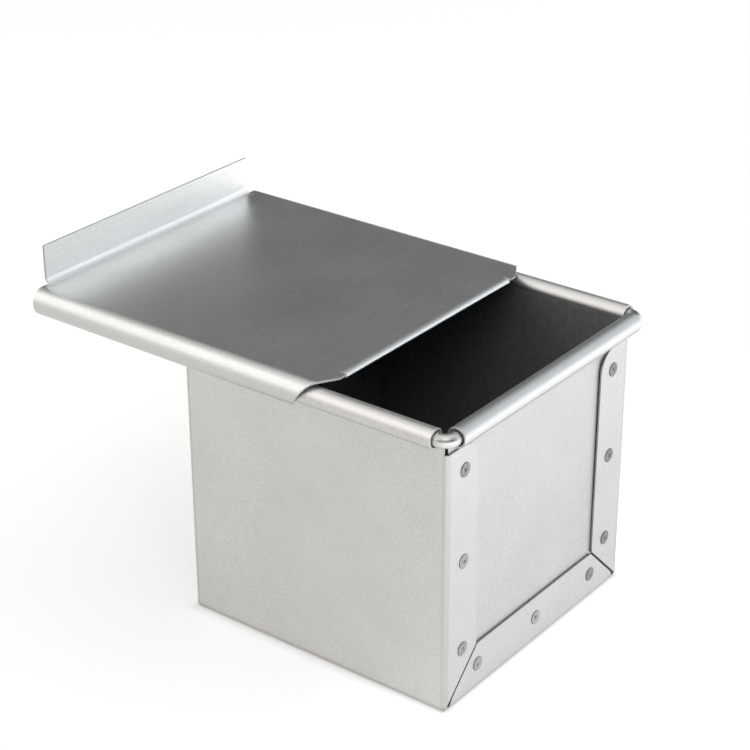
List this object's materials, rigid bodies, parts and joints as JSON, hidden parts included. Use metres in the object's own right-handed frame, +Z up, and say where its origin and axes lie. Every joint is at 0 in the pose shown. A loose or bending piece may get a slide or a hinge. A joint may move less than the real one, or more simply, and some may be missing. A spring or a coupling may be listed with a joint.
{
  "type": "cube bread pan",
  "caption": "Cube loaf pan of folded, riveted sheet steel with a wired rolled rim and a flat lid whose side curls slide along the rim, for baking a square loaf.",
  "frame": {"origin": "middle of the pan's flat underside", "axes": "+Z up out of the pan's mouth; +X towards the front riveted end, the way the lid slides shut; +Y across the pan"},
  "size_m": [0.1354, 0.0932, 0.093],
  "materials": {
    "body_sheet": "aluminised steel sheet, satin, dark baked finish inside",
    "panel_sheet": "aluminised steel sheet, satin, dark baked finish inside",
    "wire": "bright drawn wire",
    "rivet": "dull pressed rivet",
    "lid_sheet": "aluminised steel sheet, satin"
  },
  "bodies": {
    "pan": {"body_shell": "body_sheet", "end_panel_front": "panel_sheet", "end_panel_rear": "panel_sheet", "rim_wire": "wire", "rivet_front_left_1": "rivet", "rivet_front_left_2": "rivet", "rivet_front_left_3": "rivet", "rivet_front_right_1": "rivet", "rivet_front_right_2": "rivet", "rivet_front_right_3": "rivet", "rivet_front_floor_1": "rivet", "rivet_front_floor_2": "rivet", "rivet_front_floor_3": "rivet", "rivet_rear_left_1": "rivet", "rivet_rear_left_2": "rivet", "rivet_rear_left_3": "rivet", "rivet_rear_right_1": "rivet", "rivet_rear_right_2": "rivet", "rivet_rear_right_3": "rivet", "rivet_rear_floor_1": "rivet", "rivet_rear_floor_2": "rivet", "rivet_rear_floor_3": "rivet"},
    "lid": {"lid": "lid_sheet"}
  },
  "joints": [
    {"name": "lid_slide", "type": "slide", "parent": "pan", "child": "lid", "axis": [1, 0, 0], "range_m": [-0.033, 0.0414]}
  ]
}
